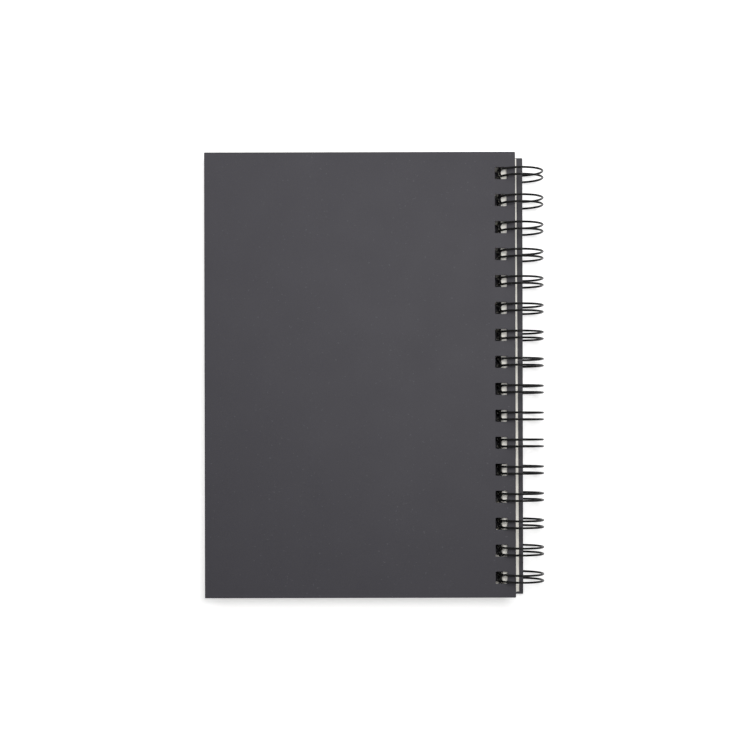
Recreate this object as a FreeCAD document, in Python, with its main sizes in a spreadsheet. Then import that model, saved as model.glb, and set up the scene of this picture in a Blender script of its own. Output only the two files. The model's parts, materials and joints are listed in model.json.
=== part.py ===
"""A twin-loop bound A5 notebook, lying closed on its front cover, in millimetres.

Seen from above, the spine with its wire is on the right (+X) and the head of the pages is away
from the viewer (+Y). The back cover is on top, the block of ruled sheets is in the middle and
the front cover is underneath.

Every leaf is drawn round the wire's own axis, which runs along Y. Each sheet is pulled away from
the spine until the inner edge of its holes meets the wire, so a sheet's place follows from its
distance to the axis: where a sheet lies further from the axis, its spine edge moves to the right.
That is why the sheets step out in a curve. The covers follow the same rule, but each has slid a
little way back towards the spine, and the front cover stands out furthest.

The wire is one length, bent into sixteen double fingers that are closed into rings. The looped
tip of each finger ends between the two bends at its own root. This seam lies under the back
cover, where the back cover's holes leave it in view.
"""

import FreeCAD, Part

import math
import os

import Sketcher

Vector = FreeCAD.Vector

# The driving dimensions

DRIVING = (
    ("cover_length", 210.0, "cover, head to tail"),
    ("cover_width", 146.5, "cover, spine edge to fore edge"),
    ("cover_thick", 1.0, "board of a cover"),
    ("page_width", 142.5, "sheet, spine edge to fore edge"),
    ("head_inset", 0.3, "head of the sheets below the head of the covers"),
    ("tail_inset", 1.2, "tail of the sheets above the tail of the covers"),
    ("block_thick", 12.2, "all the sheets together"),
    ("leaf_gap", 0.05, "between the sheets and a cover that lies on them"),
    ("ring_pitch", 12.7, "from one double ring to the next, two to the inch"),
    ("row_margin", 9.0, "least room between the last ring and a cover's head or tail"),
    ("row_shift", -0.3, "middle of the row of rings from the middle of a cover"),
    ("wire_dia", 1.0, "wire"),
    ("strand_gap", 3.2, "between the middles of the two strands of a ring"),
    ("bend_radius", 1.5, "bend from a strand into the root of the comb"),
    ("ring_slack", 4.85, "room inside a ring above what it binds"),
    ("front_drop", 0.2, "front cover's outer face inside the circle that stops the leaves"),
    ("wire_clear", 0.2, "inner edge of a hole to the wire's inner circle"),
    ("seam_gap", 0.2, "root of the comb above the sheets"),
    ("tip_gap", 0.1, "tip of a finger to the bends that it closes on"),
    ("cover_gap", 0.1, "root of the comb to the back cover"),
    ("hole_margin", 3.95, "hole to the spine edge of a cover"),
    ("page_margin", 4.7, "hole to the spine edge of a sheet"),
    ("back_slide", 1.3, "back cover from its stop at the wire towards the spine"),
    ("front_slide", 0.3, "front cover from its stop at the wire towards the spine"),
    ("hole_play", 0.35, "room across a hole beside the wire"),
    ("hole_side", 0.35, "room along a hole beside the wire"),
)

# The wire is repeated along thirty-two strands, so it has few sides and is bent in short straight
# runs. The sides touch the true round wire from outside, and the corners lie on its path. The
# turns are the most, in degrees, that it is bent at one corner.

WIRE_SIDES = 6
RING_TURN = 16.0
TIP_TURN = 36.0
BEND_TURN = 45.0

doc = FreeCAD.newDocument("Notebook")


def make_sheet():
    """The spreadsheet of driving dimensions: a note in column A and the value in column B."""
    sheet = doc.addObject("Spreadsheet::Sheet", "Sizes")
    for row, (alias, value, note) in enumerate(DRIVING, start=1):
        sheet.set(f"A{row}", note)
        sheet.set(f"B{row}", str(value))
        sheet.setAlias(f"B{row}", alias)
    doc.recompute()
    return sheet


def make_layout():
    """What follows from the driving dimensions, each value bound to them by its formula.

    Lengths are measured from the wire's axis. Along a leaf, _hole is the place of the inner edge
    of its holes, _spine that of its spine edge and _fore that of its fore edge, all with the
    spine's side positive.
    """
    layout = doc.addObject("App::VarSet", "Layout")

    def length(name, formula):
        layout.addProperty("App::PropertyFloat", name, "Layout")
        layout.setExpression(name, formula)

    def angle(name, formula):
        layout.addProperty("App::PropertyAngle", name, "Layout")
        layout.setExpression(name, formula)

    length("wire_radius", "Sizes.wire_dia / 2")
    length("half_gap", "Sizes.strand_gap / 2")

    # the ring goes round both covers, the sheets and the root of the comb, with its slack
    length(
        "ring_inner",
        "(2 * Sizes.cover_thick + Sizes.block_thick + Sizes.leaf_gap + Sizes.seam_gap"
        " + Sizes.wire_dia + Sizes.cover_gap + Sizes.ring_slack) / 2",
    )
    length("ring_middle", "ring_inner + wire_radius")
    length("ring_outer", "ring_inner + Sizes.wire_dia")
    length("leaf_stop", "ring_inner - Sizes.wire_clear")

    # levels below and above the axis
    length("front_under", "leaf_stop - Sizes.front_drop")
    length("block_depth", "front_under - Sizes.cover_thick - Sizes.leaf_gap")
    length("block_height", "Sizes.block_thick - block_depth")
    length("root_level", "block_height + Sizes.seam_gap + wire_radius")

    # the root of the comb stands off the ring's circle by one bend
    length("root_reach", "sqrt(ring_middle ^ 2 + Sizes.bend_radius ^ 2)")
    angle("root_angle", "asin(root_level / root_reach)")
    angle("start_angle", "root_angle - atan(Sizes.bend_radius / ring_middle)")

    # the finger's tip stops where its loop meets the two bends
    length("section_reach", f"Sizes.wire_dia / cos({180 / WIRE_SIDES})")
    length("bend_span", "half_gap + Sizes.bend_radius")
    length(
        "tip_rise",
        "sqrt((bend_span + section_reach + Sizes.tip_gap) ^ 2 - bend_span ^ 2)"
        " - Sizes.bend_radius",
    )
    angle("tip_angle", "root_angle + tip_rise / ring_middle * 1 rad")

    # the back cover lies on the sheets' fore edge and over the root of the comb
    length("block_hole", "-sqrt(leaf_stop ^ 2 - block_height ^ 2)")
    length("block_fore", "block_hole + Sizes.page_margin - Sizes.page_width")
    length("root_place", "-root_reach * cos(root_angle)")
    length("cover_run", "root_place - block_fore")
    length("cover_rise", "root_level - block_height")
    length("cover_pack", "wire_radius + Sizes.cover_gap - Sizes.leaf_gap")
    angle(
        "cover_lift",
        "atan(cover_rise / cover_run)"
        " + asin(cover_pack / sqrt(cover_run ^ 2 + cover_rise ^ 2))",
    )
    length(
        "back_under",
        "root_level * cos(cover_lift) - root_place * sin(cover_lift)"
        " + wire_radius + Sizes.cover_gap",
    )
    length("back_top", "back_under + Sizes.cover_thick")
    length("back_hole", "Sizes.back_slide - sqrt(leaf_stop ^ 2 - back_top ^ 2)")
    length("back_spine", "back_hole + Sizes.hole_margin")
    length("back_fore", "back_spine - Sizes.cover_width")
    length("front_hole", "Sizes.front_slide - sqrt(leaf_stop ^ 2 - front_under ^ 2)")
    length("front_spine", "front_hole + Sizes.hole_margin")
    length("front_fore", "front_spine - Sizes.cover_width")

    # a hole takes the wire where it slants most, in the front cover, and the bends at the root
    length(
        "hole_width",
        "sqrt(ring_outer ^ 2 - (front_under - Sizes.cover_thick) ^ 2)"
        " + front_hole + Sizes.hole_play",
    )
    length("bend_dip", "Sizes.bend_radius - cover_rise / cos(start_angle)")
    length(
        "bend_flare",
        "Sizes.bend_radius - sqrt((Sizes.bend_radius - wire_radius) ^ 2 - bend_dip ^ 2)",
    )
    length("hole_length", "2 * (half_gap + bend_flare + Sizes.hole_side)")

    # the notebook rests on its rings and on the front cover's fore edge
    angle(
        "lay_tilt",
        "asin(ring_outer / sqrt(front_fore ^ 2 + front_under ^ 2))"
        " + atan(front_under / front_fore)",
    )
    angle("back_tilt", "lay_tilt + cover_lift")
    length(
        "axis_aside",
        "(back_top * sin(back_tilt) - back_fore * cos(back_tilt) - ring_outer) / 2",
    )

    # as many rings as the covers take, and sheets a little shorter than the covers
    layout.addProperty("App::PropertyInteger", "ring_count", "Layout")
    layout.setExpression(
        "ring_count",
        "floor((Sizes.cover_length - 2 * Sizes.row_margin) / Sizes.ring_pitch) + 1",
    )
    length("row_length", "(ring_count - 1) * Sizes.ring_pitch")
    length("first_ring", "Sizes.row_shift + row_length / 2")
    length("page_length", "Sizes.cover_length - Sizes.head_inset - Sizes.tail_inset")
    length("page_middle", "(Sizes.tail_inset - Sizes.head_inset) / 2")
    doc.recompute()
    return layout


sizes = make_sheet()
layout = make_layout()


def origin_item(body, role):
    """A plane or an axis of the body's own origin."""
    for item in body.Origin.OriginFeatures:
        if item.Role == role:
            return item
    raise LookupError(role)


def place_on_axis(leaf, tilt):
    """Hang a leaf or the wire on the wire's axis, with its fore edge tilted down."""
    leaf.Placement = FreeCAD.Placement(Vector(0, 0, 0), FreeCAD.Rotation(Vector(0, -1, 0), 1))
    leaf.setExpression("Placement.Base.x", "Layout.axis_aside")
    leaf.setExpression("Placement.Base.z", "Layout.ring_outer")
    leaf.setExpression("Placement.Rotation.Angle", tilt)


def new_sketch(body, name, plane, offset):
    """A sketch on one of the body's planes, moved along the plane's normal by a formula."""
    sketch = body.newObject("Sketcher::SketchObject", name)
    sketch.AttachmentSupport = [(origin_item(body, plane), "")]
    sketch.MapMode = "FlatFace"
    sketch.setExpression("AttachmentOffset.Base.z", offset)
    return sketch


def bind(sketch, kind, places, start, formula):
    """A dimension of a sketch that follows a formula."""
    index = sketch.addConstraint(Sketcher.Constraint(kind, *places, start))
    sketch.setExpression(f"Constraints[{index}]", formula)


def value_of(path):
    """The number that a name such as Sizes.cover_width or Layout.first_ring stands for."""
    holder, name = path.split(".")
    return float(getattr(doc.getObject(holder), name))


def draw_rectangle(sketch, right, width, length, middle=None):
    """A rectangle from its right side's place, its width and length, and its middle's place."""
    x_right = value_of(right)
    x_left = x_right - value_of(width)
    half = value_of(length) / 2
    y_middle = value_of(middle) if middle else 0.0
    corners = (
        Vector(x_left, y_middle - half, 0),
        Vector(x_right, y_middle - half, 0),
        Vector(x_right, y_middle + half, 0),
        Vector(x_left, y_middle + half, 0),
    )
    for corner, following in zip(corners, corners[1:] + corners[:1]):
        sketch.addGeometry(Part.LineSegment(corner, following), False)
    for side in range(4):
        sketch.addConstraint(Sketcher.Constraint("Coincident", side, 2, (side + 1) % 4, 1))
    for side in (0, 2):
        sketch.addConstraint(Sketcher.Constraint("Horizontal", side))
    for side in (1, 3):
        sketch.addConstraint(Sketcher.Constraint("Vertical", side))
    bind(sketch, "DistanceX", (-1, 1, 1, 1), x_right, right)
    bind(sketch, "DistanceX", (0, 1, 1, 1), x_right - x_left, width)
    bind(sketch, "DistanceY", (1, 1, 2, 1), 2 * half, length)
    low = f"{middle} - {length} / 2" if middle else f"-{length} / 2"
    bind(sketch, "DistanceY", (-1, 1, 0, 1), y_middle - half, low)


def draw_bowed_strip(sketch, width, margin=None):
    """The block's section or a hole's: level above and below, with the same arc on both sides.

    The right-hand arc has the wire's axis as its centre, or lies a margin to the right of that,
    and the left-hand arc lies one width further left.
    """
    radius = layout.leaf_stop
    top = math.asin(layout.block_height / radius)
    bottom = math.asin(layout.block_depth / radius)
    x_right = value_of(margin) if margin else 0.0
    x_left = x_right - value_of(width)
    for aside in (x_left, x_right):
        circle = Part.Circle(Vector(aside, 0, 0), Vector(0, 0, 1), radius)
        arc = Part.ArcOfCircle(circle, math.pi - top, math.pi + bottom)
        sketch.addGeometry(arc, False)
    for end in (1, 2):
        line = Part.LineSegment(sketch.getPoint(0, end), sketch.getPoint(1, end))
        sketch.addGeometry(line, False)
    for line, end in ((2, 1), (3, 2)):
        sketch.addConstraint(Sketcher.Constraint("Coincident", line, 1, 0, end))
        sketch.addConstraint(Sketcher.Constraint("Coincident", line, 2, 1, end))
        sketch.addConstraint(Sketcher.Constraint("Horizontal", line))
    for arc in (0, 1):
        bind(sketch, "Radius", (arc,), radius, "Layout.leaf_stop")
    sketch.addConstraint(Sketcher.Constraint("PointOnObject", 0, 3, -1))
    bind(sketch, "DistanceX", (0, 3, 1, 3), x_right - x_left, width)
    if margin:
        sketch.addConstraint(Sketcher.Constraint("PointOnObject", 1, 3, -1))
        bind(sketch, "DistanceX", (-1, 1, 1, 3), x_right, margin)
    else:
        sketch.addConstraint(Sketcher.Constraint("Coincident", 1, 3, -1, 1))
    bind(sketch, "DistanceY", (-1, 1, 2, 1), layout.block_height, "Layout.block_height")
    bind(sketch, "DistanceY", (3, 1, -1, 1), layout.block_depth, "Layout.block_depth")


def add_pad(body, sketch, length, both_ways=False):
    """Raise a sketch into the body's solid."""
    pad = body.newObject("PartDesign::Pad", sketch.Name + "Pad")
    pad.Profile = sketch
    pad.setExpression("Length", length)
    if both_ways:
        pad.SideType = "Symmetric"
    doc.recompute()
    return pad


def cut_row_of_holes(body, sketch, depth, both_ways=False):
    """Cut the first hole through the body and repeat it at every ring."""
    volume = body.Shape.Volume
    pocket = body.newObject("PartDesign::Pocket", sketch.Name + "Cut")
    pocket.Profile = sketch
    pocket.setExpression("Length", depth)
    if both_ways:
        pocket.SideType = "Symmetric"
    else:
        pocket.Reversed = True
    doc.recompute()
    first = volume - pocket.Shape.Volume
    if first <= 0:
        raise RuntimeError(f"{body.Label}: the first hole cuts nothing")
    row = body.newObject("PartDesign::LinearPattern", sketch.Name + "Row")
    row.Originals = [pocket]
    row.Direction = (origin_item(body, "Y_Axis"), [""])
    row.Reversed = True
    row.setExpression("Length", "Layout.row_length")
    row.setExpression("Occurrences", "Layout.ring_count")
    body.Tip = row
    doc.recompute()
    cut = volume - body.Shape.Volume
    if abs(cut - first * layout.ring_count) > 0.001 * cut:
        raise RuntimeError(f"{body.Label}: the row of holes is not complete")


def make_cover(name, leaf, level, tilt):
    """A cover board with its row of holes; level is the height of its lower face."""
    body = doc.addObject("PartDesign::Body", name)
    body.Label = name
    board = new_sketch(body, name + "_board", "XY_Plane", level)
    draw_rectangle(board, f"Layout.{leaf}_spine", "Sizes.cover_width", "Sizes.cover_length")
    add_pad(body, board, "Sizes.cover_thick")
    hole = new_sketch(body, name + "_hole", "XY_Plane", level)
    draw_rectangle(
        hole,
        f"Layout.{leaf}_hole",
        "Layout.hole_width",
        "Layout.hole_length",
        "Layout.first_ring",
    )
    cut_row_of_holes(body, hole, "Sizes.cover_thick")
    place_on_axis(body, tilt)
    return body


def make_page_block(name):
    """The sheets as one solid: its spine, its fore edge and its holes all follow one arc."""
    body = doc.addObject("PartDesign::Body", name)
    body.Label = name
    sheets = new_sketch(body, name + "_sheets", "XZ_Plane", "-Layout.page_middle")
    draw_bowed_strip(sheets, "Sizes.page_width", "Sizes.page_margin")
    add_pad(body, sheets, "Layout.page_length", both_ways=True)
    hole = new_sketch(body, name + "_hole", "XZ_Plane", "-Layout.first_ring")
    draw_bowed_strip(hole, "Layout.hole_width")
    cut_row_of_holes(body, hole, "Layout.hole_length", both_ways=True)
    place_on_axis(body, "Layout.lay_tilt")
    return body


def ring_direction(turn):
    """Outwards from the axis at an angle in degrees from +X, and onwards round the ring there."""
    swing = math.radians(turn)
    outwards = Vector(math.cos(swing), 0, math.sin(swing))
    onwards = Vector(-math.sin(swing), 0, math.cos(swing))
    return outwards, onwards


def arc_corners(centre, start, onwards, radius, sweep, most_turn):
    """Corners on an arc, in equal turns, with half a turn before the first and after the last.

    start points from the centre to the arc's beginning and onwards along the arc there.
    """
    count = math.ceil(sweep / most_turn)
    turn = math.radians(sweep) / count
    corners = []
    for step in range(count):
        swing = turn * (step + 0.5)
        corners.append(centre + (start * math.cos(swing) + onwards * math.sin(swing)) * radius)
    return corners


def finger_corners(along):
    """The wire's corners through one finger: bend, strand, looped tip, strand and bend."""
    start = 180 - layout.start_angle.Value
    end = 540 - layout.tip_angle.Value
    root_outwards, root_onwards = ring_direction(start)
    root = root_outwards * layout.ring_middle
    tip_outwards, tip_onwards = ring_direction(end)
    row = Vector(0, 1, 0)
    bends, strands = {}, {}
    for side in (-1, 1):
        middle = Vector(0, along + side * layout.half_gap, 0)
        bends[side] = arc_corners(
            middle + root + row * (side * sizes.bend_radius),
            -row * side,
            -root_onwards,
            sizes.bend_radius,
            90,
            BEND_TURN,
        )
        strands[side] = arc_corners(
            middle,
            root_outwards,
            root_onwards,
            layout.ring_middle,
            end - start,
            RING_TURN,
        )
    tip = arc_corners(
        Vector(0, along, 0) + tip_outwards * layout.ring_middle,
        -row,
        tip_onwards,
        layout.half_gap,
        180,
        TIP_TURN,
    )
    inwards = bends[-1][::-1] + strands[-1]
    outwards = strands[1][::-1] + bends[1]
    return inwards + tip + outwards


def wire_sections(corners, outwards):
    """The wire's outline at each corner, cut on the mitre between the runs that meet there."""
    reach = layout.section_reach / 2
    heading = (corners[1] - corners[0]).normalize()
    across = heading.cross(outwards)
    offsets = []
    for side in range(WIRE_SIDES):
        swing = 2 * math.pi * (side + 0.5) / WIRE_SIDES
        offsets.append((outwards * math.cos(swing) + across * math.sin(swing)) * reach)
    sections = []
    for place, corner in enumerate(corners):
        following = heading
        if place + 1 < len(corners):
            following = (corners[place + 1] - corner).normalize()
        mitre = (heading + following).normalize()
        slide = heading / heading.dot(mitre)
        offsets = [offset - slide * offset.dot(mitre) for offset in offsets]
        sections.append([corner + offset for offset in offsets])
        offsets = [offset - following * offset.dot(following) for offset in offsets]
        heading = following
    return sections


def make_wire(name):
    """The wire comb: fingers closed into rings, joined by the straight runs of their root."""
    root_run = sizes.ring_pitch - sizes.strand_gap - 2 * sizes.bend_radius
    root_outwards, root_onwards = ring_direction(180 - layout.start_angle.Value)
    root = root_outwards * layout.ring_middle - root_onwards * sizes.bend_radius
    half_finger = layout.half_gap + sizes.bend_radius
    last_ring = layout.first_ring - layout.row_length
    corners = []
    for ring in range(layout.ring_count):
        corners += finger_corners(last_ring + ring * sizes.ring_pitch)
    low_end = root + Vector(0, last_ring - half_finger - root_run / 2, 0)
    high_end = root + Vector(0, layout.first_ring + half_finger + root_run / 2, 0)
    sections = wire_sections([low_end] + corners + [high_end], root_outwards)
    faces = []
    for section in (sections[0], sections[-1]):
        faces.append(Part.Face(Part.makePolygon(section + section[:1])))
    for near, far in zip(sections, sections[1:]):
        for side in range(WIRE_SIDES):
            after = (side + 1) % WIRE_SIDES
            outline = [near[side], near[after], far[after], far[side], near[side]]
            faces.append(Part.Face(Part.makePolygon(outline)))
    skin = Part.makeCompound(faces)
    skin.sewShape()
    comb = Part.Solid(skin.Shells[0])
    if comb.Volume < 0:
        comb.reverse()
    wire = doc.addObject("Part::Feature", name)
    wire.Label = name
    wire.Shape = comb
    place_on_axis(wire, "Layout.lay_tilt")
    return wire


def check_and_write(parts):
    """Stop at anything that failed, and write each sub-part's solid to its own file."""
    doc.recompute()
    for item in doc.Objects:
        for word in ("Invalid", "Error"):
            if word in item.State:
                raise RuntimeError(f"{item.Label} is {word}")
    for part in parts:
        shape = part.Shape
        if shape.isNull() or not shape.isValid() or len(shape.Solids) != 1:
            raise RuntimeError(f"{part.Label} is not one valid solid")
    os.makedirs("parts", exist_ok=True)
    for part in parts:
        part.Shape.exportStep(os.path.join("parts", part.Label + ".step"))
        box = part.Shape.BoundBox
        print(
            f"{part.Label}: {part.Shape.Volume:.0f} mm3,"
            f" x {box.XMin:.2f} to {box.XMax:.2f}, y {box.YMin:.2f} to {box.YMax:.2f},"
            f" z {box.ZMin:.3f} to {box.ZMax:.3f}"
        )


sub_parts = [
    make_cover("back_cover", "back", "Layout.back_under", "Layout.back_tilt"),
    make_page_block("page_block"),
    make_cover("front_cover", "front", "-Layout.front_under", "Layout.lay_tilt"),
    make_wire("wire_binding"),
]
check_and_write(sub_parts)
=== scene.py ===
# %% [markdown]
# # A twin-loop notebook
#
# The object is an A5 notebook that lies closed on its front cover. Two dark card covers hold a
# block of ruled cream sheets, and one black wire, bent into double rings, runs through a row of
# square holes along the right-hand edge. The row's middle runs along Y, with the head of the
# pages at +Y, and everything here is in metres.
#
# The frame already knows where the four solids are. This lesson gives each of them the surface
# and the fine shape that a plain solid lacks: soft cut edges on the covers, every sheet of the
# block as a sheet of its own, and a wire that is round.

# %% Load the frame
import json
import math

import bmesh
import bpy
from mathutils import Matrix, Vector


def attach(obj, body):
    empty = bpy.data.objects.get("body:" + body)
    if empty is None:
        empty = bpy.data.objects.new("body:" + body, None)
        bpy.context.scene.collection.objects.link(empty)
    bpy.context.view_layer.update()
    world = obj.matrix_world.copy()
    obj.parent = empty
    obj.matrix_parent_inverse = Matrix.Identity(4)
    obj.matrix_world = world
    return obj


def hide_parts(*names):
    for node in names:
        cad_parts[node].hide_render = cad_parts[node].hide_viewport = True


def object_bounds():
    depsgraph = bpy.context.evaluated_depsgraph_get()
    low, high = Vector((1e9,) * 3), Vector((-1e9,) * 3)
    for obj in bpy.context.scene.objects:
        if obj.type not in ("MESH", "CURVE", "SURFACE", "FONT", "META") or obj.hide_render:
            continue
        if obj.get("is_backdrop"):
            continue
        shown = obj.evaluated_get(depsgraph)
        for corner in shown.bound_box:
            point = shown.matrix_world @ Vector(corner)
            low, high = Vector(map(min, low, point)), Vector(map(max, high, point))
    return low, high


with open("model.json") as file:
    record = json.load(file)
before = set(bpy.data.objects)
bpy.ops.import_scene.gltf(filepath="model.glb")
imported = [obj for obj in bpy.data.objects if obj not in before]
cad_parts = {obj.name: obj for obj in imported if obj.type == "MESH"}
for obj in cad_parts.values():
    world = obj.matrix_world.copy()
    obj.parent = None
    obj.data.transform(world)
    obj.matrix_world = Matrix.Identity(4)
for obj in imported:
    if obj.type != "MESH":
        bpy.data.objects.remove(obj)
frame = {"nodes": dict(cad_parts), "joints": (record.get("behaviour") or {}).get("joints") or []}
cad_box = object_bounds()
MM = 0.001
print("solids:", ", ".join(sorted(frame["nodes"])))

# %% [markdown]
# ## Sizes
#
# A few sizes of the real notebook drive the rest. Every leaf, a cover or a sheet, is drawn round
# the wire's axis and is pulled away from the spine until its holes meet the wire. A leaf's place
# then follows from its level above or below the axis by the theorem of Pythagoras, which is why
# the sheets step out in a curve. The covers have slid a little way back towards the spine.
# Working the places out in the same way as the solids were made keeps every piece on its solid.

# %% Driving sizes
COVER_LENGTH = 210.0 * MM
COVER_WIDTH = 146.5 * MM
COVER_THICK = 1.0 * MM
PAGE_WIDTH = 142.5 * MM
HEAD_INSET = 0.3 * MM
TAIL_INSET = 1.2 * MM
BLOCK_THICK = 12.2 * MM
LEAF_GAP = 0.05 * MM
RING_COUNT = 16
RING_PITCH = 12.7 * MM
ROW_SHIFT = -0.3 * MM
WIRE_DIA = 1.0 * MM
STRAND_GAP = 3.2 * MM
BEND_RADIUS = 1.5 * MM
RING_OUTER = 11.2 * MM
WIRE_CLEAR = 0.2 * MM
FRONT_DROP = 0.2 * MM
SEAM_GAP = 0.2 * MM
TIP_GAP = 0.1 * MM
COVER_GAP = 0.1 * MM
HOLE_MARGIN = 3.95 * MM
PAGE_MARGIN = 4.7 * MM
BACK_SLIDE = 1.3 * MM
FRONT_SLIDE = 0.3 * MM
HOLE_PLAY = 0.35 * MM
HOLE_SIDE = 0.35 * MM
SHEET_COUNT = 120
print(f"a cover is {COVER_WIDTH / MM:.1f} by {COVER_LENGTH / MM:.1f} by {COVER_THICK / MM:.1f} mm")

# %% Levels and places that follow from them
axis_point = Vector(frame["joints"][0]["pos_m"])
wire_radius = WIRE_DIA / 2
ring_middle = RING_OUTER - wire_radius
leaf_stop = RING_OUTER - WIRE_DIA - WIRE_CLEAR
front_under = leaf_stop - FRONT_DROP
block_depth = front_under - COVER_THICK - LEAF_GAP
block_height = BLOCK_THICK - block_depth
root_level = block_height + SEAM_GAP + wire_radius
root_reach = math.hypot(ring_middle, BEND_RADIUS)
root_angle = math.asin(root_level / root_reach)


def hole_place(level):
    """Where the inner edge of a leaf's holes lies, for the leaf's furthest face from the axis."""
    return -math.sqrt(leaf_stop**2 - level**2)


block_fore = hole_place(block_height) + PAGE_MARGIN - PAGE_WIDTH
root_place = -root_reach * math.cos(root_angle)
cover_run = root_place - block_fore
cover_rise = root_level - block_height
cover_pack = wire_radius + COVER_GAP - LEAF_GAP
cover_lift = math.atan(cover_rise / cover_run)
cover_lift += math.asin(cover_pack / math.hypot(cover_run, cover_rise))
back_under = root_level * math.cos(cover_lift) - root_place * math.sin(cover_lift)
back_under += wire_radius + COVER_GAP
front_hole = hole_place(front_under) + FRONT_SLIDE
back_hole = hole_place(back_under + COVER_THICK) + BACK_SLIDE
front_fore = front_hole + HOLE_MARGIN - COVER_WIDTH
lay_tilt = math.asin(RING_OUTER / math.hypot(front_fore, front_under))
lay_tilt += math.atan(front_under / front_fore)
hole_width = math.sqrt(RING_OUTER**2 - (front_under - COVER_THICK) ** 2)
hole_width += front_hole + HOLE_PLAY
start_turn = math.pi - root_angle + math.atan(BEND_RADIUS / ring_middle)
bend_dip = BEND_RADIUS - cover_rise / math.cos(math.pi - start_turn)
bend_flare = BEND_RADIUS - math.sqrt((BEND_RADIUS - wire_radius) ** 2 - bend_dip**2)
hole_length = STRAND_GAP + 2 * (bend_flare + HOLE_SIDE)
first_ring = ROW_SHIFT + (RING_COUNT - 1) * RING_PITCH / 2
ring_places = [first_ring - ring * RING_PITCH for ring in range(RING_COUNT)]
print(f"tilt {math.degrees(lay_tilt):.3f}, back cover {math.degrees(lay_tilt + cover_lift):.3f} degrees")
print(f"a hole is {hole_width / MM:.2f} by {hole_length / MM:.2f} mm")

# %% [markdown]
# ## Helpers
#
# Shader and geometry trees are easier to read as sums than as rows of boxes. The small class
# below wraps a socket, so that `1 - mask * 0.5` adds its Math nodes by itself, and one function
# adds any other node with its settings and its inputs.


# %% Sockets that can be added and multiplied
class Sock:
    """A node's output that Python's operators work on, each adding one Math node."""

    def __init__(self, tree, socket):
        self.tree = tree
        self.socket = socket

    def math(self, operation, *others):
        made = self.tree.nodes.new("ShaderNodeMath")
        made.operation = operation
        for slot, value in zip(made.inputs, (self, *others)):
            plug(self.tree, slot, value)
        return Sock(self.tree, made.outputs[0])

    def __add__(self, other):
        return self.math("ADD", other)

    def __sub__(self, other):
        return self.math("SUBTRACT", other)

    def __rsub__(self, other):
        return (self * -1.0).math("ADD", other)

    def __mul__(self, other):
        return self.math("MULTIPLY", other)

    def __truediv__(self, other):
        return self.math("DIVIDE", other)

    __radd__ = __add__

    def ramp(self, low, high):
        """0 below low, 1 above high and a straight rise between them."""
        return ((self - low) / (high - low)).math("MINIMUM", 1.0).math("MAXIMUM", 0.0)


# %% Nodes and materials
def plug(tree, slot, value):
    """Link a socket or set a plain value."""
    if isinstance(value, Sock):
        tree.links.new(value.socket, slot)
    elif isinstance(value, bpy.types.NodeSocket):
        tree.links.new(value, slot)
    else:
        slot.default_value = value


def add(tree, kind, inputs=None, **settings):
    """Add a node, with its settings first and then the values or links of its sockets."""
    made = tree.nodes.new(kind)
    for name, value in settings.items():
        setattr(made, name, value)
    for name, value in (inputs or {}).items():
        plug(tree, made.inputs[name], value)
    return made


def new_material(name):
    """An empty material with a Principled shader, and its tree."""
    material = bpy.data.materials.new(name)
    material.use_nodes = True
    tree = material.node_tree
    tree.nodes.clear()
    shader = tree.nodes.new("ShaderNodeBsdfPrincipled")
    output = tree.nodes.new("ShaderNodeOutputMaterial")
    tree.links.new(shader.outputs["BSDF"], output.inputs["Surface"])
    return material, tree, shader


def noise(tree, vector, scale, detail=2.0, roughness=0.5):
    """Noise between 0 and 1, whose grains are about one over the scale across, in metres."""
    inputs = {"Vector": vector, "Scale": scale, "Detail": detail, "Roughness": roughness}
    return Sock(tree, add(tree, "ShaderNodeTexNoise", inputs).outputs["Fac"])


def mix_colours(tree, factor, first, second):
    """A blend of two colours, each a socket or four numbers."""
    # The node has a pair of sockets for each kind of value; its colours go in at 6 and 7.
    inputs = {"Factor": factor, 6: first, 7: second}
    return add(tree, "ShaderNodeMix", inputs, data_type="RGBA").outputs[2]


# %% [markdown]
# ## Finishes
#
# The covers are solid-dyed card: a very dark grey, matt, with a fine felt of fibres that shows
# only as a slight unevenness and a soft sheen. One flat grey would look like plastic, so noise of
# several sizes varies the tone, the roughness and the height. One of them is drawn out across the
# cover, as the fibres lie in the board, and a few pale flecks are fibres that took no dye.


# %% Dark card
CARD_DARK = (0.019, 0.018, 0.023, 1.0)
CARD_PALE = (0.073, 0.070, 0.082, 1.0)
FIBRE_STRETCH = (0.35, 1.0, 1.0)


def make_cover_card():
    material, tree, shader = new_material("cover_card")
    place = add(tree, "ShaderNodeTexCoord").outputs["Object"]
    drawn_out = add(tree, "ShaderNodeMapping", {"Vector": place, "Scale": FIBRE_STRETCH})
    cloud = noise(tree, place, 55.0, detail=3.0)
    grain = noise(tree, place, 2600.0, detail=3.0, roughness=0.6)
    fibre = noise(tree, drawn_out.outputs["Vector"], 1500.0, detail=4.0, roughness=0.7)
    fleck = noise(tree, place, 900.0, detail=1.0).ramp(0.72, 0.77)
    tone = 0.24 + cloud * 0.10 + grain * 0.50 + fleck * 0.60
    colour = mix_colours(tree, tone, CARD_DARK, CARD_PALE)
    plug(tree, shader.inputs["Base Color"], colour)
    plug(tree, shader.inputs["Roughness"], 0.54 + grain * 0.10 - cloud * 0.06)
    plug(tree, shader.inputs["Specular IOR Level"], 0.26)
    height = grain * 0.7 + fibre * 0.5
    bump = {"Height": height, "Strength": 0.30, "Distance": 0.04 * MM}
    plug(tree, shader.inputs["Normal"], add(tree, "ShaderNodeBump", bump).outputs["Normal"])
    return material


# %% [markdown]
# The sheets are uncoated cream paper with thin grey rules. The rules follow the sheet, not the
# space round it, so each point of a sheet carries its own place on the sheet as an attribute,
# `on_sheet`, and the pattern is worked out from that. A second attribute gives every sheet of
# the block a tone of its own, because in a real block no two cut edges catch the light alike.

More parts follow.
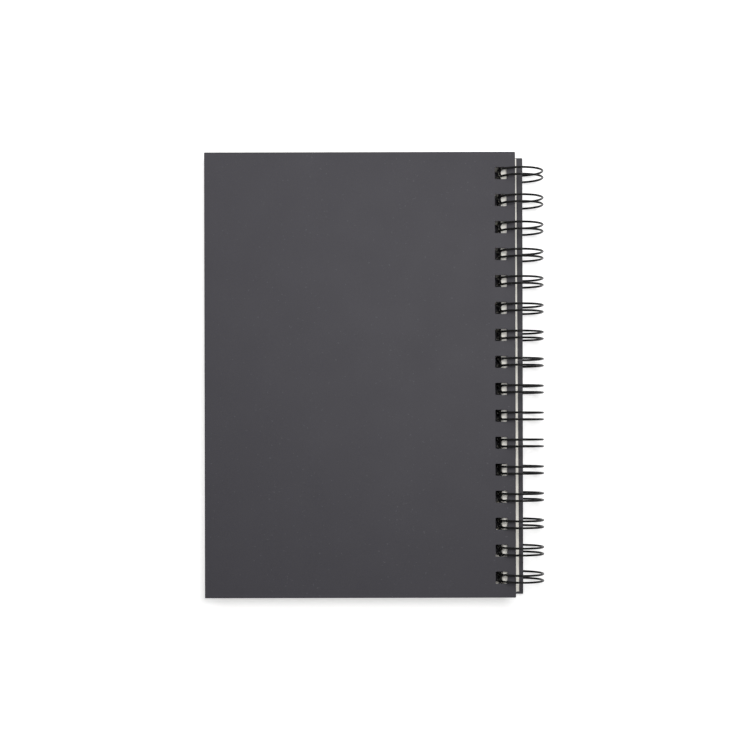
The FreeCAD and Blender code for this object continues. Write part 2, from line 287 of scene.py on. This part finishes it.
# %% Ruled paper
PAGE_HEAD = COVER_LENGTH / 2 - HEAD_INSET
PAGE_TAIL = TAIL_INSET - COVER_LENGTH / 2
RULE_COUNT = 23
RULE_WIDTH = 0.28 * MM
RULE_HEAD = 17.0 * MM
RULE_TAIL = 12.4 * MM
RULE_FORE = 8.0 * MM
RULE_SPINE = 15.0 * MM
RULE_EDGE = 0.05 * MM
RULE_STRENGTH = 0.85
RULE_GREY = (0.640, 0.620, 0.585, 1.0)
PAPER_PALE = (0.945, 0.925, 0.870, 1.0)
PAPER_WARM = (0.890, 0.865, 0.800, 1.0)
rule_pitch = (PAGE_HEAD - PAGE_TAIL - RULE_HEAD - RULE_TAIL) / (RULE_COUNT - 1)
print(f"{RULE_COUNT} rules, {rule_pitch / MM:.2f} mm apart")


def make_page_paper():
    material, tree, shader = new_material("page_paper")
    sheet = add(tree, "ShaderNodeAttribute", attribute_name="on_sheet").outputs["Vector"]
    parts = add(tree, "ShaderNodeSeparateXYZ", {"Vector": sheet}).outputs
    along, down = Sock(tree, parts["X"]), Sock(tree, parts["Y"])
    tone = Sock(tree, add(tree, "ShaderNodeAttribute", attribute_name="tone").outputs["Fac"])

    row = (PAGE_HEAD - RULE_HEAD - down) / rule_pitch
    off_line = (row - row.math("ROUND")).math("ABSOLUTE") * rule_pitch
    rule = 1.0 - off_line.ramp(RULE_WIDTH / 2 - RULE_EDGE, RULE_WIDTH / 2 + RULE_EDGE)
    rule = rule * row.math("GREATER_THAN", -0.5) * row.math("LESS_THAN", RULE_COUNT - 0.5)
    rule = rule * along.math("GREATER_THAN", PAGE_MARGIN - PAGE_WIDTH + RULE_FORE)
    rule = rule * along.math("LESS_THAN", PAGE_MARGIN - RULE_SPINE)

    place = add(tree, "ShaderNodeTexCoord").outputs["Object"]
    fibre = noise(tree, place, 1800.0, detail=3.0, roughness=0.6)
    cloud = noise(tree, place, 40.0)
    warmth = tone * 0.55 + fibre * 0.25 + cloud * 0.2
    paper = mix_colours(tree, warmth, PAPER_PALE, PAPER_WARM)
    colour = mix_colours(tree, rule * RULE_STRENGTH, paper, RULE_GREY)
    plug(tree, shader.inputs["Base Color"], colour)
    plug(tree, shader.inputs["Roughness"], 0.78 + fibre * 0.12)
    bump = {"Height": fibre, "Strength": 0.15, "Distance": 0.02 * MM}
    plug(tree, shader.inputs["Normal"], add(tree, "ShaderNodeBump", bump).outputs["Normal"])
    return material


# %% [markdown]
# The wire is steel with a thin black nylon skin: black, smooth, with a small highlight that runs
# along it. The skin is never quite even, so a low noise moves its roughness.


# %% Coated wire
WIRE_BLACK = (0.004, 0.004, 0.004, 1.0)
WIRE_WORN = (0.009, 0.009, 0.009, 1.0)


def make_binding_wire():
    material, tree, shader = new_material("binding_wire")
    place = add(tree, "ShaderNodeTexCoord").outputs["Object"]
    skin = noise(tree, place, 700.0)
    colour = mix_colours(tree, skin, WIRE_BLACK, WIRE_WORN)
    plug(tree, shader.inputs["Base Color"], colour)
    plug(tree, shader.inputs["Roughness"], 0.20 + skin * 0.12)
    plug(tree, shader.inputs["Specular IOR Level"], 0.12)
    bump = {"Height": skin, "Strength": 0.10, "Distance": 0.02 * MM}
    plug(tree, shader.inputs["Normal"], add(tree, "ShaderNodeBump", bump).outputs["Normal"])
    return material


cover_card = make_cover_card()
page_paper = make_page_paper()
binding_wire = make_binding_wire()
print("finishes:", cover_card.name, page_paper.name, binding_wire.name)

# %% [markdown]
# ## One perforated leaf
#
# Covers and sheets are the same shape: a thin board with a row of square holes. The holes could
# be cut with booleans, but a leaf drawn as a grid that simply leaves out the cells of the holes
# has clean faces and never fails. The grid is then raised to the leaf's thickness, and where the
# punch had rounded corners, the upright edges of the holes are rounded too.


# %% Drawing a leaf
CORNER_STEPS = 4


def draw_leaf(name, hole_near, margin, width, low, high, thick, corner=0.0, more=(0.0, 0.0)):
    """A board with the row of holes, from z = 0 up.

    The holes' inner edge lies at hole_near, and the spine a margin beyond it. A corner is the
    radius of the holes' corners. The first number of more makes the holes wider towards the fore
    edge, and the second makes them longer along the row.
    """
    spine = hole_near + margin
    across = [spine - width, hole_near - hole_width - more[0], hole_near, spine]
    reach = (hole_length + more[1]) / 2
    holes = sorted(ring_places)
    down = [low]
    for hole in holes:
        down += [hole - reach, hole + reach]
    down.append(high)
    work = bmesh.new()
    grid = [[work.verts.new((x, y, 0.0)) for x in across] for y in down]
    for row in range(len(down) - 1):
        for column in range(len(across) - 1):
            # Every other cell of the middle column is a hole.
            if column == 1 and row % 2 == 1:
                continue
            near, far = grid[row], grid[row + 1]
            work.faces.new((near[column], near[column + 1], far[column + 1], far[column]))
    raised = bmesh.ops.extrude_face_region(work, geom=work.faces[:])["geom"]
    lifted = [item for item in raised if isinstance(item, bmesh.types.BMVert)]
    bmesh.ops.translate(work, verts=lifted, vec=(0.0, 0.0, thick))
    bmesh.ops.recalc_face_normals(work, faces=work.faces[:])
    if corner:
        upright = [
            edge
            for edge in work.edges
            if abs(edge.verts[0].co.z - edge.verts[1].co.z) > thick / 2
            and across[0] < edge.verts[0].co.x < across[3]
            and low < edge.verts[0].co.y < high
        ]
        rounding = {"offset": corner, "segments": CORNER_STEPS, "profile": 0.5, "affect": "EDGES"}
        bmesh.ops.bevel(work, geom=upright, **rounding)
    mesh = bpy.data.meshes.new(name)
    work.to_mesh(mesh)
    work.free()
    piece = bpy.data.objects.new(name, mesh)
    bpy.context.scene.collection.objects.link(piece)
    return piece


def on_axis(tilt):
    """The matrix that hangs a leaf or the wire on the axis, with its fore edge tilted down."""
    return Matrix.Translation(axis_point) @ Matrix.Rotation(-tilt, 4, "Y")


def settle(piece, body, node):
    """Turn a piece's modifiers into a plain mesh and hand it to the frame in its node's place."""
    shown = piece.evaluated_get(bpy.context.evaluated_depsgraph_get())
    piece.data = bpy.data.meshes.new_from_object(shown)
    piece.data.name = piece.name
    piece.modifiers.clear()
    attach(piece, body)
    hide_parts(node)
    triangles = sum(len(face.vertices) - 2 for face in piece.data.polygons)
    print(f"{piece.name}: {triangles} triangles, in place of {node}")


# %% [markdown]
# ## Covers
#
# A cover is stamped from board one millimetre thick. The knife leaves a square edge that is
# slightly crushed, and so do the square punches of the holes. A narrow bevel on every sharp edge
# gives the thin line of light that tells the eye how thick the board is.


# %% The two covers
PUNCH_CORNER = 0.45 * MM
CRUSHED_EDGE = 0.12 * MM
SHARP_ANGLE = math.radians(40)


def make_cover(name, node, body, hole_near, under, tilt):
    half = COVER_LENGTH / 2
    outline = (hole_near, HOLE_MARGIN, COVER_WIDTH, -half, half, COVER_THICK)
    cover = draw_leaf(name, *outline, corner=PUNCH_CORNER)
    cover.data.transform(on_axis(tilt) @ Matrix.Translation((0.0, 0.0, under)))
    cover.data.materials.append(cover_card)
    for face in cover.data.polygons:
        face.use_smooth = True
    bevel = cover.modifiers.new("crushed edge", "BEVEL")
    bevel.width = CRUSHED_EDGE
    bevel.segments = 2
    bevel.limit_method = "ANGLE"
    bevel.angle_limit = SHARP_ANGLE
    bevel.harden_normals = True
    settle(cover, body, node)


back_tilt = lay_tilt + cover_lift
make_cover("back_board", "back_cover", "back_cover_leaf", back_hole, back_under, back_tilt)
make_cover("front_board", "front_cover", "front_cover_leaf", front_hole, -front_under, lay_tilt)

# %% [markdown]
# ## The block of sheets
#
# The block is not one lump: about 120 sheets lie on each other, each pulled against the wire at
# its own level. Geometry Nodes suit that. One sheet is drawn in Python, a line of points gives
# the levels, each point is moved along the leaf by the rule of the stop circle, and the sheet is
# placed on every point. A little chance, with a fixed seed, keeps the edges from lining up like
# a machined block.
#
# The sheets also hang slightly askew, turned by a quarter of a degree about the first ring, where
# they are pressed hardest against the wire. Each stops a little short of the solid block's edge at
# the spine, and its holes are punched a little wider and longer than those of the covers. That
# leaves the wells under the covers' holes dark on their inner side.


# %% A tree with named inputs
def new_tree(name, inputs):
    """A geometry tree whose inputs are named; each input is a name, a kind and a value."""
    tree = bpy.data.node_groups.new(name, "GeometryNodeTree")
    sides = tree.interface
    sides.new_socket("Geometry", in_out="INPUT", socket_type="NodeSocketGeometry")
    for label, kind, _ in inputs:
        sides.new_socket(label, in_out="INPUT", socket_type=kind)
    sides.new_socket("Geometry", in_out="OUTPUT", socket_type="NodeSocketGeometry")
    source = tree.nodes.new("NodeGroupInput").outputs
    return tree, {item.name: Sock(tree, item) for item in source if item.name}


def run_tree(piece, tree, inputs):
    """Put the tree on the piece and set its inputs by their identifiers."""
    modifier = piece.modifiers.new(tree.name, "NODES")
    modifier.node_group = tree
    items = [item for item in tree.interface.items_tree if item.item_type == "SOCKET"]
    names = {item.name: item.identifier for item in items if item.in_out == "INPUT"}
    for label, _, value in inputs:
        modifier[names[label]] = value


def close_tree(tree, geometry, material, tilt):
    """The end of each tree: plain geometry, hung on the wire's axis, with its finish."""
    solid = add(tree, "GeometryNodeRealizeInstances", {"Geometry": geometry})
    hung = add(
        tree,
        "GeometryNodeTransform",
        {
            "Geometry": solid.outputs["Geometry"],
            "Translation": tuple(axis_point),
            "Rotation": (0.0, -tilt, 0.0),
        },
    )
    done = add(
        tree,
        "GeometryNodeSetMaterial",
        {"Geometry": hung.outputs["Geometry"], "Material": material},
    )
    end = tree.nodes.new("NodeGroupOutput")
    tree.links.new(done.outputs["Geometry"], end.inputs["Geometry"])


# %% How the sheets lie
SHEET_SHARE = 0.96
SHEET_REACH = 0.17 * MM
SHEET_TRIM = 0.28 * MM
SHEET_HOLE_MORE = (1.3 * MM, 1.0 * MM)
SHEET_SLIP = 0.08 * MM
SHEET_TWIST = math.radians(0.27)
CHANCE_SEED = 7
sheet_pitch = BLOCK_THICK / SHEET_COUNT
STACK_INPUTS = (
    ("Sheets", "NodeSocketInt", SHEET_COUNT),
    ("Lowest level", "NodeSocketFloat", -block_depth),
    ("Pitch", "NodeSocketFloat", sheet_pitch),
    ("Stop radius", "NodeSocketFloat", leaf_stop + SHEET_REACH),
    ("Slip", "NodeSocketFloat", SHEET_SLIP),
    ("Twist", "NodeSocketFloat", SHEET_TWIST),
    ("Pivot", "NodeSocketFloat", first_ring),
    ("Seed", "NodeSocketInt", CHANCE_SEED),
)
print(f"{SHEET_COUNT} sheets, {sheet_pitch / MM:.4f} mm from one to the next")


def random_number(tree, low, high, seed):
    """A number for each point, between low and high."""
    # Plain numbers go in at the node's sockets 2 and 3 and come out at 1.
    inputs = {2: low, 3: high, "Seed": seed}
    made = add(tree, "FunctionNodeRandomValue", inputs, data_type="FLOAT")
    return Sock(tree, made.outputs[1])


def store(tree, geometry, name, kind, value):
    """Keep a value on every point under a name that a material can read."""
    inputs = {"Geometry": geometry, "Name": name, "Value": value}
    made = add(tree, "GeometryNodeStoreNamedAttribute", inputs, data_type=kind, domain="POINT")
    return made.outputs["Geometry"]


# %% Stacking the sheets
def build_stack_tree():
    tree, given = new_tree("stack of sheets", STACK_INPUTS)
    place = add(tree, "GeometryNodeInputPosition").outputs["Position"]
    sheet = store(tree, given["Geometry"], "on_sheet", "FLOAT_VECTOR", place)
    pitch = given["Pitch"]
    start = add(tree, "ShaderNodeCombineXYZ", {"Z": given["Lowest level"] + pitch * 0.5})
    step = add(tree, "ShaderNodeCombineXYZ", {"Z": pitch})
    levels = add(
        tree,
        "GeometryNodeMeshLine",
        {"Count": given["Sheets"], "Start Location": start.outputs[0], "Offset": step.outputs[0]},
        mode="OFFSET",
        count_mode="TOTAL",
    )
    height = Sock(tree, add(tree, "ShaderNodeSeparateXYZ", {"Vector": place}).outputs["Z"])
    furthest = height.math("ABSOLUTE") + pitch * 0.5
    reach = given["Stop radius"]
    edge = (reach * reach - furthest * furthest).math("SQRT") * -1.0
    slip = given["Slip"]
    slid = edge + random_number(tree, 0.0, slip, given["Seed"])
    slid = slid + given["Twist"].math("SINE") * given["Pivot"]
    sideways = random_number(tree, slip * -1.0, slip, given["Seed"] + 1)
    moved = add(tree, "ShaderNodeCombineXYZ", {"X": slid, "Y": sideways})
    spread = add(
        tree,
        "GeometryNodeSetPosition",
        {"Geometry": levels.outputs["Mesh"], "Offset": moved.outputs[0]},
    )
    tone = random_number(tree, 0.0, 1.0, given["Seed"] + 2)
    toned = store(tree, spread.outputs["Geometry"], "tone", "FLOAT", tone)
    turned = add(tree, "ShaderNodeCombineXYZ", {"Z": given["Twist"]})
    placed = add(
        tree,
        "GeometryNodeInstanceOnPoints",
        {"Points": toned, "Instance": sheet, "Rotation": turned.outputs[0]},
    )
    close_tree(tree, placed.outputs["Instances"], page_paper, lay_tilt)
    return tree


# %% The sheets of the block
thick = sheet_pitch * SHEET_SHARE
margin = PAGE_MARGIN - SHEET_TRIM
outline = (0.0, margin, PAGE_WIDTH - SHEET_TRIM, PAGE_TAIL, PAGE_HEAD, thick)
sheets = draw_leaf("ruled_sheets", *outline, more=SHEET_HOLE_MORE)
sheets.data.transform(Matrix.Translation((0.0, 0.0, -thick / 2)))
sheets.data.materials.append(page_paper)
run_tree(sheets, build_stack_tree(), STACK_INPUTS)
settle(sheets, "pages", "page_block")

# %% [markdown]
# ## The wire
#
# A comb of twin loops is one wire. It runs along the root of the comb, turns into a finger, comes
# back beside itself and turns into the root again. When the comb is closed, each finger becomes a
# double ring and its looped tip drops between the two bends at its root. So the path of one
# finger is enough: it is bent once in Python, repeated along the row and joined end to end, and
# then a round section follows the whole path.
#
# The wire of the solid has six sides and short straight runs. The round one follows the same
# lines, and its ring is a hair smaller, which keeps it within the solid's outer box. A closed comb
# also springs out a little lengthwise, so its rings stand slightly further apart than the holes.


# %% The path of one finger
def arc(centre, start, onwards, radius, sweep, steps):
    """Points on an arc, both ends included; start and onwards are unit vectors at its beginning."""
    turns = [sweep * step / steps for step in range(steps + 1)]
    return [centre + (start * math.cos(t) + onwards * math.sin(t)) * radius for t in turns]


def ring_direction(turn):
    """Outwards from the axis at an angle from +X, and onwards round the ring there."""
    outwards = Vector((math.cos(turn), 0.0, math.sin(turn)))
    onwards = Vector((-math.sin(turn), 0.0, math.cos(turn)))
    return outwards, onwards


RING_SHRINK = 0.03 * MM
COMB_STRETCH = 0.04 * MM
RING_STEPS = 72
TIP_STEPS = 14
BEND_STEPS = 7
SOLID_SIDES = 6
section_reach = WIRE_DIA / math.cos(math.pi / SOLID_SIDES)
bend_span = STRAND_GAP / 2 + BEND_RADIUS
tip_rise = math.sqrt((bend_span + section_reach + TIP_GAP) ** 2 - bend_span**2) - BEND_RADIUS
ring_path = ring_middle - RING_SHRINK
comb_pitch = RING_PITCH + COMB_STRETCH
end_turn = 3 * math.pi - root_angle - tip_rise / ring_middle


def finger_path():
    """From the middle of the root on one side to the middle of the root on the other."""
    row = Vector((0.0, 1.0, 0.0))
    outwards, onwards = ring_direction(start_turn)
    tip_outwards, tip_onwards = ring_direction(end_turn)
    root = outwards * ring_path
    straight = root - onwards * BEND_RADIUS
    halves = {}
    for side in (-1, 1):
        middle = row * (side * STRAND_GAP / 2)
        bend_centre = middle + root + row * (side * BEND_RADIUS)
        bend = arc(bend_centre, -row * side, -onwards, BEND_RADIUS, math.pi / 2, BEND_STEPS)
        strand = arc(middle, outwards, onwards, ring_path, end_turn - start_turn, RING_STEPS)
        halves[side] = [straight + row * (side * comb_pitch / 2)] + bend[::-1] + strand[1:]
    tip_centre = tip_outwards * ring_path
    tip = arc(tip_centre, -row, tip_onwards, STRAND_GAP / 2, math.pi, TIP_STEPS)
    return halves[-1] + tip[1:-1] + halves[1][::-1]


path_points = finger_path()
print(f"one finger is a path of {len(path_points)} points")

# %% Repeating the finger and giving it a round section
WIRE_SIDES = 14
WELD = 0.01 * MM
COMB_INPUTS = (
    ("Rings", "NodeSocketInt", RING_COUNT),
    ("Pitch", "NodeSocketFloat", comb_pitch),
    ("Last ring", "NodeSocketFloat", ROW_SHIFT - (RING_COUNT - 1) * comb_pitch / 2),
    ("Wire radius", "NodeSocketFloat", wire_radius),
    ("Sides", "NodeSocketInt", WIRE_SIDES),
)


def build_comb_tree():
    tree, given = new_tree("twin-loop comb", COMB_INPUTS)
    start = add(tree, "ShaderNodeCombineXYZ", {"Y": given["Last ring"]})
    step = add(tree, "ShaderNodeCombineXYZ", {"Y": given["Pitch"]})
    row = add(
        tree,
        "GeometryNodeMeshLine",
        {"Count": given["Rings"], "Start Location": start.outputs[0], "Offset": step.outputs[0]},
        mode="OFFSET",
        count_mode="TOTAL",
    )
    fingers = add(
        tree,
        "GeometryNodeInstanceOnPoints",
        {"Points": row.outputs["Mesh"], "Instance": given["Geometry"]},
    )
    plain = add(
        tree, "GeometryNodeRealizeInstances", {"Geometry": fingers.outputs["Instances"]}
    )
    joined = add(
        tree,
        "GeometryNodeMergeByDistance",
        {"Geometry": plain.outputs["Geometry"], "Distance": WELD},
    )
    path = add(tree, "GeometryNodeMeshToCurve", {"Mesh": joined.outputs["Geometry"]})
    circle = add(
        tree,
        "GeometryNodeCurvePrimitiveCircle",
        {"Resolution": given["Sides"], "Radius": given["Wire radius"]},
        mode="RADIUS",
    )
    tube = add(
        tree,
        "GeometryNodeCurveToMesh",
        {
            "Curve": path.outputs["Curve"],
            "Profile Curve": circle.outputs["Curve"],
            "Fill Caps": True,
        },
    )
    smooth = add(
        tree,
        "GeometryNodeSetShadeSmooth",
        {"Geometry": tube.outputs["Mesh"], "Shade Smooth": True},
    )
    close_tree(tree, smooth.outputs["Geometry"], binding_wire, lay_tilt)
    return tree


# %% The comb
path_mesh = bpy.data.meshes.new("comb_wire")
path_edges = [(place, place + 1) for place in range(len(path_points) - 1)]
path_mesh.from_pydata([tuple(point) for point in path_points], path_edges, [])
comb = bpy.data.objects.new("comb_wire", path_mesh)
bpy.context.scene.collection.objects.link(comb)
comb.data.materials.append(binding_wire)
run_tree(comb, build_comb_tree(), COMB_INPUTS)
settle(comb, "pages", "wire_binding")

# %% [markdown]
# ## The table and the light
#
# The notebook lies on a white table in a room of soft light. What the eye and reflections see of
# the room is white at the sides and dark overhead, so that the black wire and the matt card keep
# their depth, while the light that the room throws on the notebook is low and even.

# %% The room
WORLD_LIGHT = 0.20
ZENITH = 0.15
ZENITH_START = 0.35
ZENITH_END = 0.80
WHITE = (1.0, 1.0, 1.0, 1.0)


def seen_ray(tree):
    """1 for what the camera, a reflection or a clear surface sees, and 0 for light on objects."""
    rays = add(tree, "ShaderNodeLightPath").outputs
    seen = Sock(tree, rays["Is Camera Ray"]) + Sock(tree, rays["Is Glossy Ray"])
    return (seen + Sock(tree, rays["Is Transmission Ray"])).math("MINIMUM", 1.0)


def make_world():
    world = bpy.data.worlds.new("studio")
    bpy.context.scene.world = world
    world.use_nodes = True
    tree = world.node_tree
    tree.nodes.clear()
    way = add(tree, "ShaderNodeTexCoord").outputs["Generated"]
    height = Sock(tree, add(tree, "ShaderNodeSeparateXYZ", {"Vector": way}).outputs["Z"])
    room = 1.0 - height.ramp(ZENITH_START, ZENITH_END) * (1.0 - ZENITH)
    seen = seen_ray(tree)
    strength = seen * room + (1.0 - seen) * WORLD_LIGHT
    sky = add(tree, "ShaderNodeBackground", {"Color": WHITE, "Strength": strength})
    output = tree.nodes.new("ShaderNodeOutputWorld")
    tree.links.new(sky.outputs["Background"], output.inputs["Surface"])


make_world()
print("room:", bpy.context.scene.world.name)

# %% [markdown]
# The table is lit like anything else and keeps the notebook's shadow. A little white is added to
# it for the camera and for reflections only, and more of it far from the notebook, so that the
# background is white from every side without more light on the notebook.

# %% The table
TABLE_HALF = 2.0
TABLE_COLOUR = (0.86, 0.86, 0.86, 1.0)
TABLE_GLOW = 0.47
FAR_GLOW = 0.85
GLOW_START = 0.18
GLOW_END = 0.60


def make_table():
    side = TABLE_HALF
    mesh = bpy.data.meshes.new("table")
    corners = [(-side, -side, 0.0), (side, -side, 0.0), (side, side, 0.0), (-side, side, 0.0)]
    mesh.from_pydata(corners, [], [(0, 1, 2, 3)])
    table = bpy.data.objects.new("table", mesh)
    bpy.context.scene.collection.objects.link(table)
    material = bpy.data.materials.new("white_table")
    material.use_nodes = True
    tree = material.node_tree
    tree.nodes.clear()
    lit = add(tree, "ShaderNodeBsdfDiffuse", {"Color": TABLE_COLOUR})
    place = add(tree, "ShaderNodeTexCoord").outputs["Object"]
    spread = add(tree, "ShaderNodeVectorMath", {"Vector": place}, operation="LENGTH")
    far = Sock(tree, spread.outputs["Value"]).ramp(GLOW_START, GLOW_END)
    glowing = seen_ray(tree) * (far * (FAR_GLOW - TABLE_GLOW) + TABLE_GLOW)
    glow = add(tree, "ShaderNodeEmission", {"Color": WHITE, "Strength": glowing})
    both = tree.nodes.new("ShaderNodeAddShader")
    tree.links.new(lit.outputs["BSDF"], both.inputs[0])
    tree.links.new(glow.outputs["Emission"], both.inputs[1])
    output = tree.nodes.new("ShaderNodeOutputMaterial")
    tree.links.new(both.outputs["Shader"], output.inputs["Surface"])
    mesh.materials.append(material)
    table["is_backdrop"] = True
    print(f"table: {2 * TABLE_HALF:.0f} metres wide")


make_table()

# %% [markdown]
# Two lamps give the light its direction. The key lamp stands beyond the head of the pages on the
# left, so that the dark covers are brightest there and their grain shows. The other hangs above
# the rings and reaches the paper in the holes and beside the cover. Both are weak enough for an
# open page to keep its cream colour.

# %% The lamps
KEY_PLACE = Vector((-0.15, 0.36, 0.43))
KEY_SIZE = 0.30
KEY_POWER = 0.9
TOP_PLACE = Vector((0.09, 0.09, 0.65))
TOP_SIZE = 0.25
TOP_POWER = 2.5
LAMP_TARGET = Vector((0.0, 0.0, 0.01))


def add_lamp(name, place, size, power):
    """A square lamp that faces the notebook."""
    data = bpy.data.lights.new(name, "AREA")
    data.size = size
    data.energy = power
    lamp = bpy.data.objects.new(name, data)
    lamp.location = place
    lamp.rotation_mode = "QUATERNION"
    lamp.rotation_quaternion = (LAMP_TARGET - place).to_track_quat("-Z", "Y")
    bpy.context.scene.collection.objects.link(lamp)
    print(f"lamp {name}: {power} watts, {size} metres wide")


add_lamp("key", KEY_PLACE, KEY_SIZE, KEY_POWER)
add_lamp("top", TOP_PLACE, TOP_SIZE, TOP_POWER)
bpy.context.scene.view_settings.view_transform = "Standard"

# %% [markdown]
# ## The camera
#
# The camera looks straight at the back cover from 62 centimetres. It stands a little nearer to
# the tail than the middle of the notebook, which is why the rings at the head lean one way and
# those at the tail the other. The frame is shifted back by the same amount, so that the notebook
# stays in the middle of the picture, and it is rolled by an eighth of a degree, as a camera that
# was levelled by hand would be.

# %% Camera
CAMERA_DISTANCE = 0.620
PIXELS_PER_METRE = 2124.0
FRAME_PIXELS = 750
SENSOR = 36.0
CAMERA_TOWARDS_TAIL = 0.026
CAMERA_ROLL = 0.13

low, high = cad_box
middle_x = (low.x + high.x) / 2
board_frame = on_axis(back_tilt)
board_top = board_frame @ Vector((middle_x - axis_point.x, 0.0, back_under + COVER_THICK))
aim = Vector((board_top.x, -CAMERA_TOWARDS_TAIL, board_top.z))
outwards = (board_frame.to_3x3() @ Vector((0.0, 0.0, 1.0))).normalized()
camera_data = bpy.data.cameras.new("camera")
camera_data.sensor_width = SENSOR
camera_data.lens = PIXELS_PER_METRE * CAMERA_DISTANCE * SENSOR / FRAME_PIXELS
camera_data.shift_y = CAMERA_TOWARDS_TAIL * PIXELS_PER_METRE / FRAME_PIXELS
camera = bpy.data.objects.new("camera", camera_data)
camera.matrix_world = (
    Matrix.Translation(aim + outwards * CAMERA_DISTANCE)
    @ Matrix.Rotation(-back_tilt, 4, "Y")
    @ Matrix.Rotation(math.radians(-CAMERA_ROLL), 4, "Z")
)
bpy.context.scene.collection.objects.link(camera)
bpy.context.scene.camera = camera
print(f"lens {camera_data.lens:.1f} mm, shift {camera_data.shift_y:.3f}")

# %% Sizes and finish
shown_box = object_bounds()
for label, box in (("solids", cad_box), ("dressed", shown_box)):
    spans = [(box[1][side] - box[0][side]) / MM for side in range(3)]
    print(label, " by ".join(f"{span:.2f}" for span in spans), "mm")
